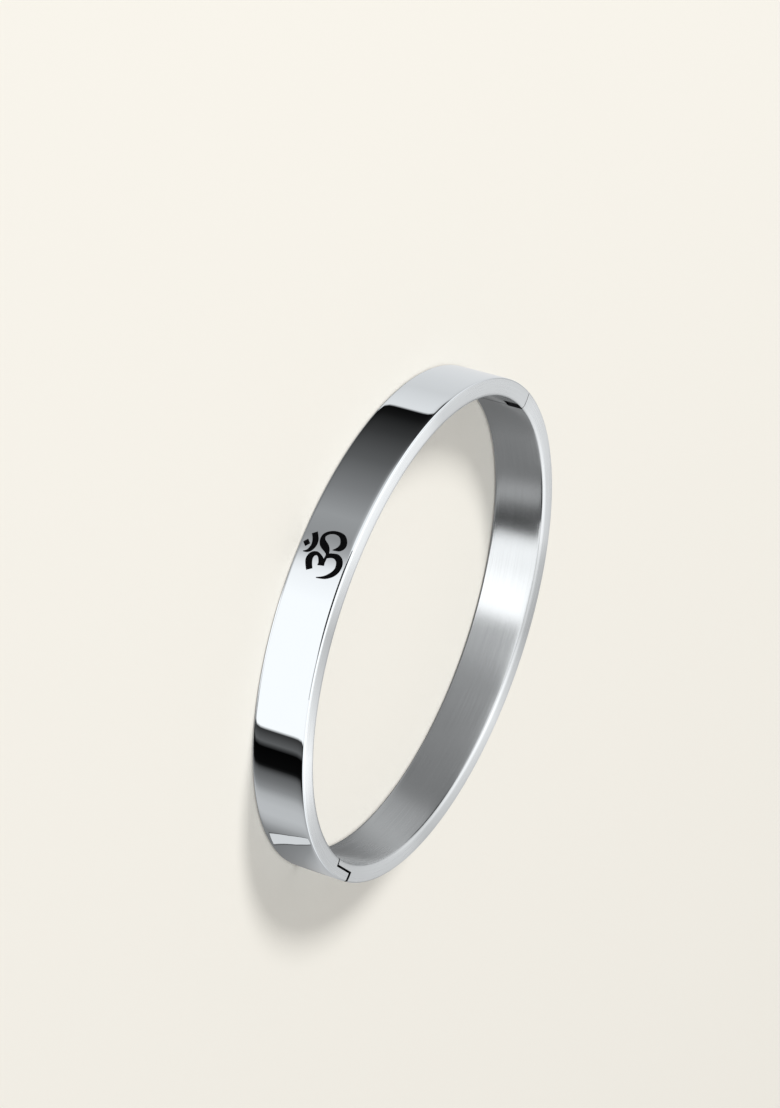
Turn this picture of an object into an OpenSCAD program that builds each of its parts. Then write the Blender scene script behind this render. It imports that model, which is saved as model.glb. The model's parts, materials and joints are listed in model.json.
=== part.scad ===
// Kada bangle: a flat oval band in two halves, with a pin hinge at one end, a tongue clasp
// at the other and an engraved, black filled Om sign in the middle of the front half.
// Frame: the bangle lies on its side, +Z up, with the origin under its middle on the surface.
// +X points to the hinge, -X to the clasp, -Y to the front half with the sign.

/* [Band] */
// Outer length of the oval, from the hinge to the clasp
oval_length = 71; // [62:1:84]
// Outer width of the oval, across the front and rear halves
oval_width = 57; // [52:1:60]
// Width of the band, which is its height as it lies
band_width = 8; // [7.5:0.5:12]
// Thickness of the band
band_thickness = 2.5; // [2.3:0.1:3.2]
// Rounding of the band's four long edges
edge_radius = 0.35; // [0.1:0.05:0.6]

/* [Hinge] */
// Thickness of the front half's outer lap, which holds the hinge pin
lap_thickness = 1.4; // [1.3:0.05:1.6]
// Distance of the hinge pin from the middle plane, towards the rear
pin_offset = 1.92; // [1.6:0.04:2.4]
// Distance from the hinge pin's axis to the flat end of the front lugs
lug_reach = 0.68; // [0.6:0.02:0.74]
// How far the rear half's inner lap reaches past the middle plane, towards the front
lap_reach = 1.25; // [0.6:0.05:3]
// Gap between the two halves along the stepped seam of the hinge
hinge_gap = 0.2; // [0.12:0.02:0.3]
// What the round of the lugs stays clear of the rear half as it turns
swing_clearance = 0.08; // [0.04:0.01:0.1]
// Width of the rear half's middle knuckle, along the hinge pin
knuckle_width = 3; // [2:0.1:4]
// Gap at each side of the knuckle
knuckle_gap = 0.1; // [0.05:0.01:0.2]
// Radius of the hinge pin
pin_radius = 0.35; // [0.25:0.05:0.4]
// Radial clearance of the pin in the lugs, which hold it
pin_hold_clearance = 0.01; // [0.005:0.005:0.02]
// Radial clearance of the pin in the knuckle, which turns on it
pin_turn_clearance = 0.04; // [0.03:0.01:0.08]
// Metal left over the pin's blind end
pin_cover = 0.9; // [0.5:0.1:1.5]
// How far the pin's other end lies inside the side face
pin_setback = 0.3; // [0.1:0.1:0.6]

/* [Clasp] */
// Distance of the clasp's seam from the middle plane, towards the rear
seam_offset = 1.15; // [0.5:0.05:2]
// Gap between the closed halves at the clasp's seam
seam_gap = 0.08; // [0.05:0.01:0.2]
// Length of the tongue past the seam
tongue_length = 4; // [2.5:0.25:6]
// Length of the tongue's root, which is seated in the rear half
tongue_root = 2; // [1.5:0.25:3]
// Width of the tongue, along the band's width
tongue_width = 2.6; // [1.8:0.1:4]
// Thickness of the tongue
tongue_thickness = 0.9; // [0.6:0.05:1.1]
// Rounding of the tongue's corners
tongue_corner = 0.6; // [0.2:0.1:0.8]
// Clearance round the tongue in the front half's socket
socket_clearance = 0.15; // [0.1:0.01:0.2]
// Clearance round the tongue's root in the rear half
root_clearance = 0.02; // [0.01:0.01:0.04]
// Width of the two relief notches in the seam, on the inner face
relief_width = 0.45; // [0.3:0.05:0.8]
// Depth of the relief notches
relief_depth = 0.3; // [0.2:0.05:0.5]

/* [Sign] */
// Size of the square round the Om sign
sign_size = 6.65; // [5:0.05:6.8]
// Distance of the sign from the middle of the front half, towards the clasp
sign_shift = 0.52; // [0:0.02:4]
// Distance of the sign from the middle of the band's width, towards the surface
sign_drop = 0.14; // [0:0.02:0.2]
// Depth of the sign's recess
sign_depth = 0.35; // [0.2:0.05:0.6]
// Clearance of the enamel at the sides and the floor of the recess
enamel_clearance = 0.03; // [0.02:0.01:0.05]
// How far the enamel lies below the band's outer face
enamel_setback = 0.02; // [0:0.01:0.1]

/* [Hidden] */
$fn = 96;

// The oval is four arcs: two ends about [+-end_centre, 0], two sides about [0, +-side_centre].
// The centres lie 3 and 4 units out, so the arcs meet tangent on the lines of slope 4 to 3.
half_length = oval_length / 2;
half_width = oval_width / 2;
unit = (oval_length - oval_width) / 4;
end_centre = 3 * unit;
side_centre = 4 * unit;
end_radius = half_length - end_centre;
side_radius = end_radius + 5 * unit;
mid_height = band_width / 2;

// Hinge: the pin's axis, the clear distances about it and the planes of the stepped seam
pin_x = half_length - lap_thickness + lug_reach;
lug_inside = half_length - lap_thickness;
lap_outside = lug_inside - hinge_gap;
seat_distance = lug_reach + hinge_gap;
lug_round = seat_distance - swing_clearance;
knuckle_radius = lug_reach - pin_turn_clearance / 2;
slot_width = knuckle_width + 2 * knuckle_gap;
pin_height = band_width - pin_cover;

// Clasp: the tongue is bent about the hinge pin, so it leaves its socket along its own curve
tongue_radius = pin_x + half_length - band_thickness / 2;
seam_drop = pin_offset - seam_offset;

// A size past every cut, and a small step that lets cuts pass through faces
reach = oval_length;
through = 0.5;

// The sign's strokes, drawn by hand on a square of side 1 about its middle.
// Each row is one station of a brush stroke: across, up, half of the stroke's width.
UPPER_ARM = [
    [-0.365, 0.155, 0.068],
    [-0.255, 0.212, 0.073],
    [-0.165, 0.238, 0.075],
    [-0.075, 0.210, 0.061],
    [-0.030, 0.133, 0.041],
    [-0.047, 0.065, 0.037],
    [-0.100, 0.005, 0.052],
    [-0.175, -0.043, 0.068],
    [-0.236, -0.052, 0.075],
];
LOWER_BOWL = [
    [-0.041, -0.086, 0.043],
    [-0.008, -0.146, 0.049],
    [0.012, -0.229, 0.048],
    [0.008, -0.311, 0.060],
    [-0.041, -0.389, 0.069],
    [-0.131, -0.429, 0.071],
    [-0.244, -0.421, 0.063],
    [-0.342, -0.356, 0.055],
    [-0.423, -0.246, 0.038],
    [-0.462, -0.138, 0.021],
    [-0.481, -0.045, 0.010],
];
TAIL = [
    [-0.165, -0.078, 0.037],
    [-0.011, -0.098, 0.029],
    [0.065, -0.071, 0.053],
    [0.132, -0.008, 0.074],
    [0.192, 0.072, 0.075],
    [0.268, 0.122, 0.057],
    [0.358, 0.117, 0.041],
    [0.426, 0.042, 0.035],
    [0.460, -0.063, 0.035],
    [0.456, -0.176, 0.042],
    [0.415, -0.269, 0.060],
    [0.335, -0.329, 0.072],
    [0.253, -0.346, 0.075],
    [0.185, -0.304, 0.060],
    [0.144, -0.236, 0.029],
    [0.117, -0.168, 0.006],
];
CRESCENT = [
    [-0.060, 0.433, 0.006],
    [-0.033, 0.347, 0.029],
    [0.027, 0.286, 0.048],
    [0.117, 0.253, 0.060],
    [0.208, 0.260, 0.066],
    [0.290, 0.298, 0.063],
    [0.358, 0.343, 0.063],
];
STROKES = [UPPER_ARM, LOWER_BOWL, TAIL, CRESCENT];
// The dot is a diamond: its place on the same square, and half of its diagonal
dot_place = [0.123, 0.423];
dot_half = 0.081;
// Points that a stroke's outline has for each station, and the least half width of a tip
stroke_steps = 4;
tip_half = 0.01;

// Smooth curve through the rows of a table: the point at row number t, a real number
function spline(rows, t) =
    let (
        last = len(rows) - 1,
        i = max(0, min(floor(t), last - 1)),
        f = t - i,
        b = rows[i],
        c = rows[i + 1],
        a = i > 0 ? rows[i - 1] : 2 * b - c,
        d = i + 1 < last ? rows[i + 2] : 2 * c - b
    )
    b + 0.5 * f * ((c - a) + f * ((2 * a - 5 * b + 4 * c - d) + f * (3 * (b - c) + d - a)));

// A point on a stroke's edge: side is 1 for its left edge and -1 for its right edge
function stroke_edge(rows, t, side, inset) =
    let (
        nudge = 0.01,
        p = spline(rows, t),
        ahead = spline(rows, t + nudge),
        behind = spline(rows, t - nudge),
        along = [ahead[0] - behind[0], ahead[1] - behind[1]],
        normal = [-along[1], along[0]] / norm(along),
        half = max(p[2] * sign_size - inset, tip_half)
    )
    [p[0] * sign_size, p[1] * sign_size] + side * half * normal;

// One stroke of the sign, drawn smaller all round by inset
module stroke(rows, inset) {
    last = len(rows) - 1;
    start = norm(rows[1] - rows[0]);
    stop = norm(rows[last] - rows[last - 1]);
    t0 = inset / (start * sign_size);
    t1 = last - inset / (stop * sign_size);
    count = last * stroke_steps;
    left = [for (i = [0:count]) stroke_edge(rows, t0 + (t1 - t0) * i / count, 1, inset)];
    right = [for (i = [count:-1:0]) stroke_edge(rows, t0 + (t1 - t0) * i / count, -1, inset)];
    polygon(concat(left, right));
}

// The whole sign on its own square, in millimetres
module sign_outline(inset) {
    dot = dot_half * sign_size - inset * sqrt(2);
    for (rows = STROKES) {
        stroke(rows, inset);
    }
    translate(dot_place * sign_size)
        polygon([[dot, 0], [0, dot], [-dot, 0], [0, -dot]]);
}

// The sign as a prism through the front face. It reads with its top towards the surface.
module sign_prism(inset) {
    sunk = side_drop() + sign_depth + tip_half;
    translate([-sign_shift, sunk - half_width, mid_height - sign_drop])
        rotate([0, 180, 0])
            rotate([90, 0, 0])
                linear_extrude(height = sunk + through)
                    sign_outline(inset);
}

// How far the curved front face falls back at the ends of the sign
function side_drop() =
    side_radius - sqrt(pow(side_radius, 2) - pow(sign_shift + sign_size / 2, 2));

// A cylinder about the centre of the front side's arc
module front_cylinder(radius) {
    translate([0, side_centre, -through])
        cylinder(r = radius, h = band_width + 2 * through);
}

// The band's section: a rectangle with round corners, from the inner to the outer face
module band_section(outer_radius) {
    translate([outer_radius - band_thickness, 0]) {
        translate([edge_radius, 0])
            square([band_thickness - 2 * edge_radius, band_width]);
        translate([0, edge_radius])
            square([band_thickness, band_width - 2 * edge_radius]);
        for (x = [edge_radius, band_thickness - edge_radius]) {
            for (y = [edge_radius, band_width - edge_radius]) {
                translate([x, y])
                    circle(r = edge_radius, $fn = 32);
            }
        }
    }
}

// The whole ring that an arc of the band belongs to, about the origin
module band_ring(outer_radius) {
    rotate_extrude()
        band_section(outer_radius);
}

// A wedge from the origin, between the lines of slope 4 to 3, to one side or both
module wedge(x, y) {
    translate([0, 0, -through])
        linear_extrude(height = band_width + 2 * through)
            polygon([[0, 0], 3 * reach * x, 3 * reach * y]);
}

// The whole oval band, before it is divided
module oval_band() {
    for (side = [1, -1]) {
        translate([side * end_centre, 0, 0])
            intersection() {
                band_ring(end_radius);
                wedge([side * 0.6, -side * 0.8], [side * 0.6, side * 0.8]);
            }
        translate([0, -side * side_centre, 0])
            intersection() {
                band_ring(side_radius);
                wedge([side * 0.6, side * 0.8], [-side * 0.6, side * 0.8]);
            }
    }
}

// An upright block between two corners in plan, through the band's full width by default
module block(low, high, z0 = -through, z1 = band_width + through) {
    translate([low[0], low[1], z0])
        cube([high[0] - low[0], high[1] - low[1], z1 - z0]);
}

// The hole for the hinge pin, open at the side face that the bangle lies on
module pin_hole(clearance, top) {
    translate([pin_x, pin_offset, -through])
        cylinder(r = pin_radius + clearance, h = top + through);
}

// The tongue's space: bent about the hinge pin, round at its corners, grown by clearance
module tongue_space(clearance) {
    half_thickness = tongue_thickness / 2 + clearance;
    width = tongue_width + 2 * clearance;
    length = tongue_root + tongue_length + 2 * clearance;
    corner = tongue_corner + clearance;
    intersection() {
        translate([pin_x, pin_offset, mid_height - width / 2])
            difference() {
                cylinder(r = tongue_radius + half_thickness, h = width);
                translate([0, 0, -through])
                    cylinder(r = tongue_radius - half_thickness, h = width + 2 * through);
            }
        translate([-half_length - through, seam_offset - tongue_length - clearance, mid_height])
            rotate([90, 0, 90])
                linear_extrude(height = band_thickness + 2 * through)
                    rounded_plan(length, width, corner);
    }
}

// A flat shape of the tongue's plan, from [0, 0] along its length, middle at zero height
module rounded_plan(length, width, corner) {
    translate([corner, -width / 2])
        square([length - 2 * corner, width]);
    translate([0, corner - width / 2])
        square([length, width - 2 * corner]);
    for (x = [corner, length - corner]) {
        for (y = [corner - width / 2, width / 2 - corner]) {
            translate([x, y])
                circle(r = corner, $fn = 32);
        }
    }
}

// The two notches that relieve the seam on the inner face, beside the tongue's width
module seam_relief() {
    inner_x = -half_length + band_thickness;
    sunk = relief_width / 2 / relief_depth * through;
    side = (band_width - tongue_width) / 2 - socket_clearance;
    for (z = [-through, band_width - side]) {
        translate([inner_x, seam_offset, z])
            linear_extrude(height = side + through)
                polygon([
                    [-relief_depth, 0],
                    [through, -relief_width / 2 - sunk],
                    [through, relief_width / 2 + sunk],
                ]);
    }
}

// Everything of the band that isn't the front half
module front_cut() {
    block([-reach, seam_offset - seam_gap / 2], [0, reach]);
    block([-through, -lap_reach - hinge_gap], [lug_inside, reach]);
    block([lug_inside - through, pin_offset + lug_reach], [reach, reach]);
    block(
        [lug_inside - through, pin_offset - seat_distance],
        [reach, reach],
        mid_height - slot_width / 2,
        mid_height + slot_width / 2
    );
}

// What the lugs lose outside the round about the hinge pin
module lug_corners() {
    difference() {
        block([lug_inside - through, pin_offset], [half_length + through, reach]);
        translate([pin_x, pin_offset, -through])
            cylinder(r = lug_round, h = band_width + 2 * through);
    }
}

// The knuckle's outline about the hinge pin, filled back to the rear half
module knuckle_plan() {
    circle(r = knuckle_radius);
    translate([-seat_distance - through, -knuckle_radius])
        square([seat_distance + through, knuckle_radius + seat_distance + through]);
    square([seat_distance + through, seat_distance + through]);
}

// Everything of the band that isn't the rear half
module rear_cut() {
    block([-reach, -reach], [0, seam_offset + seam_gap / 2]);
    block([-through, -reach], [reach, -lap_reach]);
    difference() {
        block([lap_outside, -reach], [reach, pin_offset + seat_distance]);
        translate([pin_x, pin_offset, mid_height - knuckle_width / 2])
            linear_extrude(height = knuckle_width)
                knuckle_plan();
    }
}

module front_half() {
    color("silver")
        difference() {
            oval_band();
            front_cut();
            lug_corners();
            pin_hole(pin_hold_clearance, pin_height);
            tongue_space(socket_clearance);
            seam_relief();
            difference() {
                sign_prism(0);
                front_cylinder(side_radius - sign_depth);
            }
        }
}

module rear_half() {
    color("lightgray")
        difference() {
            oval_band();
            rear_cut();
            pin_hole(pin_turn_clearance, band_width);
            tongue_space(root_clearance);
            seam_relief();
        }
}

module hinge_pin() {
    color("gray")
        translate([pin_x, pin_offset, pin_setback])
            cylinder(r = pin_radius, h = pin_height - pin_hold_clearance - pin_setback);
}

module clasp_tongue() {
    color("darkgray")
        tongue_space(0);
}

module symbol_enamel() {
    color("black")
        difference() {
            intersection() {
                sign_prism(enamel_clearance);
                front_cylinder(side_radius - enamel_setback);
            }
            front_cylinder(side_radius - sign_depth + enamel_clearance);
        }
}

front_half();
rear_half();
hinge_pin();
clasp_tongue();
symbol_enamel();
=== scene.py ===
"""Looks of the kada bangle: an oval steel bangle of two hinged halves, lying on its side.

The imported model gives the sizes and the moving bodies. The band is swept along an oval with
numpy, and the hinge, the clasp and the sign are cut out of it. Lengths inside the classes are
in millimetres, and every mesh is written in metres.
"""

import json
import logging
import math
from dataclasses import dataclass, field
from enum import Enum

import bpy
import numpy as np
from mathutils import Matrix, Vector
from mathutils.geometry import delaunay_2d_cdt

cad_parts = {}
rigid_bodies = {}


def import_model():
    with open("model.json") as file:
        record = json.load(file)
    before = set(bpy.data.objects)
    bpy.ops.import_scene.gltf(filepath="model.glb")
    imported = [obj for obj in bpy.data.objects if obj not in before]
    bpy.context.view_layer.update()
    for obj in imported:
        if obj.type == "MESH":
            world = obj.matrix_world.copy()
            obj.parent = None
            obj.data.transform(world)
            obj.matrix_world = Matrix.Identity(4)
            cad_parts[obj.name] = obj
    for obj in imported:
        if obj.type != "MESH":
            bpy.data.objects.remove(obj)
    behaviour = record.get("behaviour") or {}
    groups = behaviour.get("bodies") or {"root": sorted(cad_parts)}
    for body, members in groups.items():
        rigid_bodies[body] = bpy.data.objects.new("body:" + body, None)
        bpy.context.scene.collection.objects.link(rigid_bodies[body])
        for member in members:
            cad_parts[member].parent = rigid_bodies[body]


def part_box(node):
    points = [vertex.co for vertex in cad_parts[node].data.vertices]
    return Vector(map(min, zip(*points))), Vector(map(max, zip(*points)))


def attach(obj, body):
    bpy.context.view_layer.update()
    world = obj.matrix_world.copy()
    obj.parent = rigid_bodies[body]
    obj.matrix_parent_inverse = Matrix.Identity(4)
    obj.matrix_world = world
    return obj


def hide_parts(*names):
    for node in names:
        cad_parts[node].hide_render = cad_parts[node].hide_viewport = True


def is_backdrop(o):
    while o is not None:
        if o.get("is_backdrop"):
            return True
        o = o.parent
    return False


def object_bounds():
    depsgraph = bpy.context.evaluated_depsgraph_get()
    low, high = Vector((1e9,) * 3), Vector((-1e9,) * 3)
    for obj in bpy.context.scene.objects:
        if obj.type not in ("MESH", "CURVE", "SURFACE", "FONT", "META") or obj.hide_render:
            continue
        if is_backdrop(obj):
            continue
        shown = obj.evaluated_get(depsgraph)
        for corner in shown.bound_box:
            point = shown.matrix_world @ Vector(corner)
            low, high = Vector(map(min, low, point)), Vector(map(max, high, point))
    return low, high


LOG = logging.getLogger("bangle")
METRES = 0.001

Array = np.ndarray
Stops = tuple[tuple[float, float], ...]
SMOOTH_ANGLE = math.radians(30.0)
CUT_SPARE = 1.0
EDGE_STEPS = 6


class Half(Enum):
    """The two halves of the band, with the sign of y on their side of the oval."""

    FRONT = -1
    REAR = 1


class Face(Enum):
    """The faces of a band half by finish, in the order of the material slots."""

    OUTER = 0
    SIDE = 1
    INNER = 2
    CUT = 3
    # Painted shade: near-black finish for the clasp's relief and the lugs' seat, where the gaps
    # fall into shade.
    PAINTED_SHADE = 4


def grey(level: float) -> tuple[float, float, float, float]:
    """A grey of this brightness, as a colour."""
    return (level, level, level, 1.0)


@dataclass
class Graph:
    """A node tree under construction, with short calls to add nodes and join them."""

    tree: bpy.types.NodeTree

    def node(self, kind: str, **settings: object) -> bpy.types.Node:
        """Adds a node.

        Args:
            kind: the node's Blender type.
            settings: its properties by name.

        Returns:
            The new node.
        """
        made = self.tree.nodes.new(kind)
        for name, value in settings.items():
            setattr(made, name, value)
        return made

    def join(self, output: object, node: bpy.types.Node, entry: object) -> None:
        """Feeds an output, or a plain value, into an input of a node.

        Args:
            output: an output socket or a constant.
            node: the node that takes it.
            entry: the input's name or number.
        """
        if isinstance(output, bpy.types.NodeSocket):
            self.tree.links.new(output, node.inputs[entry])
        else:
            node.inputs[entry].default_value = output

    def math(self, operation: str, *terms: object) -> bpy.types.NodeSocket:
        """Adds a Math node.

        Args:
            operation: the node's operation.
            terms: its inputs, sockets or numbers.

        Returns:
            The result's socket.
        """
        made = self.node("ShaderNodeMath", operation=operation)
        for index, term in enumerate(terms):
            self.join(term, made, index)
        return made.outputs[0]

    def ramp(self, factor: object, stops: Stops, reach: float) -> bpy.types.NodeSocket:
        """Adds a grey colour ramp.

        Args:
            factor: the ramp's input, from 0 to 1.
            stops: places from 0 to the reach and their grey values, linear light.
            reach: the place where the factor is 1.

        Returns:
            The colour socket.
        """
        made = self.node("ShaderNodeValToRGB")
        self.join(factor, made, 0)
        elements = made.color_ramp.elements
        elements.remove(elements[1])
        elements[0].position = stops[0][0] / reach
        elements[0].color = grey(stops[0][1])
        for place, level in stops[1:]:
            elements.new(place / reach).color = grey(level)
        return made.outputs[0]

    def spread(self, factor: object, low: float, high: float) -> bpy.types.NodeSocket:
        """Maps a factor of 0 to 1 to a range.

        Args:
            factor: the factor's socket.
            low: what 0 becomes.
            high: what 1 becomes.

        Returns:
            The result's socket.
        """
        made = self.node("ShaderNodeMapRange")
        self.join(factor, made, 0)
        made.inputs["To Min"].default_value = low
        made.inputs["To Max"].default_value = high
        return made.outputs[0]

    def mixed(
        self, factor: object, first: object, second: object, blend: str = "MIX"
    ) -> bpy.types.NodeSocket:
        """Mixes two colours by a Mix node, whose colour sockets are numbers 6, 7 and 2.

        Args:
            factor: how far the mixing goes, from 0 to 1.
            first: the colour at 0.
            second: the colour that is mixed in.
            blend: the node's way of mixing.

        Returns:
            The colour's socket.
        """
        made = self.node("ShaderNodeMix", data_type="RGBA", blend_type=blend)
        for output, entry in ((factor, 0), (first, 6), (second, 7)):
            self.join(output, made, entry)
        return made.outputs[2]

    def step(self, value: object, start: object, stop: object) -> bpy.types.NodeSocket:
        """Adds a smooth step of a value.

        Args:
            value: the value's socket.
            start: where the step is still 0.
            stop: where it has become 1.

        Returns:
            The step's socket.
        """
        made = self.node("ShaderNodeMapRange", interpolation_type="SMOOTHSTEP")
        self.join(value, made, 0)
        self.join(start, made, "From Min")
        self.join(stop, made, "From Max")
        return made.outputs[0]

    def noise(self, place: object, scale: float, detail: float = 4.0) -> bpy.types.NodeSocket:
        """Adds a noise texture read at a place.

        Args:
            place: the coordinate's socket.
            scale: the noise's scale.
            detail: its octaves.

        Returns:
            The factor socket.
        """
        made = self.node("ShaderNodeTexNoise")
        self.join(place, made, "Vector")
        made.inputs["Scale"].default_value = scale
        made.inputs["Detail"].default_value = detail
        return made.outputs[0]

    def body(self) -> bpy.types.NodeSocket:
        """Returns the socket of the object's own coordinate."""
        return self.node("ShaderNodeTexCoord").outputs["Object"]

    def parts(self, place: object) -> bpy.types.bpy_prop_collection:
        """Splits a coordinate.

        Args:
            place: the coordinate's socket.

        Returns:
            The sockets of its x, y and z.
        """
        made = self.node("ShaderNodeSeparateXYZ")
        self.join(place, made, 0)
        return made.outputs

    def relief(self, height: object, distance: float, shader: bpy.types.Node) -> None:
        """Gives a shader a fine relief by a Bump node.

        Args:
            height: the relief's height, from 0 to 1.
            distance: what a height of 1 is in metres.
            shader: the shader.
        """
        made = self.node("ShaderNodeBump")
        made.inputs["Strength"].default_value = 1.0
        made.inputs["Distance"].default_value = distance
        self.join(height, made, "Height")
        self.join(made.outputs[0], shader, "Normal")

    def stretched(self, place: object, scale: tuple[float, float, float]) -> bpy.types.NodeSocket:
        """Stretches a coordinate by a Mapping node.

        Args:
            place: the coordinate's socket.
            scale: the factors of its three parts.

        Returns:
            The stretched coordinate's socket.
        """
        made = self.node("ShaderNodeMapping")
        self.join(place, made, "Vector")
        made.inputs["Scale"].default_value = scale
        return made.outputs[0]


def blank(name: str) -> tuple[bpy.types.Material, Graph, bpy.types.Node]:
    """Makes a material with nodes.

    Args:
        name: the material's name.

    Returns:
        The material, its node tree under construction, and its shader's node.
    """
    made = bpy.data.materials.new(name)
    made.use_nodes = True
    return made, Graph(made.node_tree), made.node_tree.nodes["Principled BSDF"]


def placed(name: str, data: bpy.types.ID) -> bpy.types.Object:
    """Puts data into the scene.

    Args:
        name: the new object's name.
        data: its mesh, light or camera.

    Returns:
        The object, at the origin.
    """
    made = bpy.data.objects.new(name, data)
    bpy.context.scene.collection.objects.link(made)
    return made


@dataclass(frozen=True)
class Steel:
    """Stainless steel with fine polishing or brushing lines along the band.

    Fields: tint is the reflected colour, roughness its low and high value, line_pitch the
    lines' spacing in millimetres, line_stretch how many times longer than wide they are,
    line_depth their relief in metres, line_tone how far they lighten and darken the tint, and
    smudge how far large faint patches do. The tint is then multiplied by tones of painted
    reflection: along holds them by millimetres along the band, around by millimetres round
    its section. Blur holds what the roughness is multiplied by, by millimetres along the band.
    A loose piece is read by its own place in space, and the band by its map.
    """

    name: str
    tint: tuple[float, float, float]
    roughness: tuple[float, float]
    line_pitch: float = 0.06
    line_stretch: float = 1.0
    line_depth: float = 2.0e-6
    line_tone: float = 0.10
    smudge: float = 0.04
    along: Stops = ()
    around: Stops = ()
    blur: Stops = ()
    loose: bool = False

    LAP = 210.0
    GIRTH = 12.0
    LINE_DETAIL = 5.0
    PATCH_SCALE = 160.0
    PATCH_DETAIL = 3.0

    def material(self) -> bpy.types.Material:
        """Builds the procedural material.

        Returns:
            The material, its lines running along the first axis of its coordinate.
        """
        made, graph, shader = blank(self.name)
        shader.inputs["Metallic"].default_value = 1.0
        body = graph.body()
        if self.loose:
            place = graph.stretched(body, (1.0 / METRES,) * 3)
        else:
            place = graph.node("ShaderNodeUVMap", uv_map=BandMap.NAME).outputs[0]
        drawn = graph.stretched(place, (1.0 / self.line_stretch, 1.0, 1.0))
        lines = graph.noise(drawn, 1.0 / self.line_pitch, self.LINE_DETAIL)
        patches = graph.noise(body, self.PATCH_SCALE, self.PATCH_DETAIL)
        tone = graph.spread(lines, 1.0 - self.line_tone, 1.0 + self.line_tone)
        worn = graph.spread(patches, 1.0 - self.smudge, 1.0 + self.smudge)
        tone = graph.math("MULTIPLY", tone, worn)
        along, around, _ = graph.parts(place)
        run = graph.math("DIVIDE", along, self.LAP)
        # The along and around ramps are painted reflections, multiplied into the tint.
        if self.along:
            tone = graph.math("MULTIPLY", tone, graph.ramp(run, self.along, self.LAP))
        if self.around:
            girth = graph.math("DIVIDE", around, self.GIRTH)
            tone = graph.math("MULTIPLY", tone, graph.ramp(girth, self.around, self.GIRTH))
        colour = graph.mixed(1.0, (*self.tint, 1.0), tone, "MULTIPLY")
        graph.join(colour, shader, "Base Color")
        mean = graph.math("MULTIPLY_ADD", patches, 0.5, graph.math("MULTIPLY", lines, 0.5))
        rough = graph.spread(mean, *self.roughness)
        if self.blur:
            rough = graph.math("MULTIPLY", rough, graph.ramp(run, self.blur, self.LAP))
        graph.join(rough, shader, "Roughness")
        graph.relief(lines, self.line_depth, shader)
        return made


@dataclass(frozen=True)
class Enamel:
    """Hard black enamel, smooth, with a faint grain and a faint ripple from its setting."""

    name: str = "black_enamel"
    dark: tuple[float, float, float] = (0.0015, 0.0015, 0.0018)
    light: tuple[float, float, float] = (0.0033, 0.0033, 0.004)
    roughness: tuple[float, float] = (0.29, 0.42)
    specular: float = 0.03
    grain_scale: float = 2400.0
    ripple_scale: float = 900.0
    ripple: float = 4.0e-6

    def material(self) -> bpy.types.Material:
        """Builds the procedural material.

        Returns:
            The material.
        """
        made, graph, shader = blank(self.name)
        body = graph.body()
        grain = graph.noise(body, self.grain_scale)
        shade = graph.mixed(grain, (*self.dark, 1.0), (*self.light, 1.0))
        graph.join(shade, shader, "Base Color")
        graph.join(graph.spread(grain, *self.roughness), shader, "Roughness")
        shader.inputs["Specular IOR Level"].default_value = self.specular
        graph.relief(graph.noise(body, self.ripple_scale, 2.0), self.ripple, shader)
        return made


# Painted reflections: brightness of the satin side faces by millimetres along the band, standing in
# for the sky's reflection changing along it.
SIDE_PAINTED_REFLECTIONS = (
    (0, 0.66), (24, 0.66), (28, 0.83), (38, 0.92), (49, 0.87), (55, 0.67), (60, 0.52), (64, 0.59),
    (69, 0.72), (73, 0.85), (77, 1.0), (81, 0.92), (86, 0.67), (91, 0.57), (105, 0.57),
    (120, 0.62), (125, 0.53), (133, 0.62), (146, 0.78), (155, 0.59), (160, 0.45), (170, 0.52),
    (174, 0.66), (198, 0.75), (202, 0.66),
)
# Painted reflection: a thin dark line in the rounded corner between the polished face and the side
# faces, 3.85 to 4.03 mm round the section.
EDGE_PAINTED_DARK_LINE = ((0, 1), (3.85, 1), (3.91, 0.60), (3.99, 0.55), (4.03, 0.90))
INNER_BLUR = ((0, 1), (94, 1), (99, 2), (117, 2), (125, 1))
COOL = (0.885, 0.925, 0.955)
# The polished face carries the painted dark reflection line round its section.
POLISHED = Steel(
    "polished_steel", COOL, (0.004, 0.014), 0.055, 60.0, 0.0, 0.012, 0.008, around=EDGE_PAINTED_DARK_LINE
)
# The satin side faces carry the painted reflections along the band.
SATIN_SIDE = Steel(
    "satin_side", (0.81, 0.835, 0.85), (0.22, 0.34), 0.14, 70.0, 2.0e-6, 0.10, 0.03, SIDE_PAINTED_REFLECTIONS
)
SATIN_INNER = Steel(
    "satin_inner", (0.78, 0.805, 0.82), (0.10, 0.17), 0.12, 90.0, 3.6e-6, 0.09, 0.05,
    blur=INNER_BLUR,
)
CUT_STEEL = Steel("cut_steel", (0.30, 0.31, 0.32), (0.26, 0.40), loose=True)
# Painted shade: a darker copy of the cut steel for the rear half, so the seams and hinge strokes
# between the halves read black.
SHADED_CUT_STEEL = Steel("painted_shade_cut_steel", (0.12, 0.124, 0.128), (0.30, 0.45), loose=True)
# Painted shade: a near-black steel that stands for the shade in the clasp's relief and the lugs'
# seat.
PAINTED_SHADE_STEEL = Steel("painted_shade_steel", (0.02, 0.02, 0.022), (0.40, 0.60), loose=True)
PIN_STEEL = Steel(
    "pin_steel", (0.62, 0.63, 0.64), (0.18, 0.30), 0.05, 1.0, 1.0e-6, 0.05, 0.03, loose=True
)
SPRING_STEEL = Steel(
    "spring_steel", (0.66, 0.67, 0.68), (0.16, 0.28), 0.06, 1.0, 1.5e-6, 0.08, loose=True
)


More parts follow.
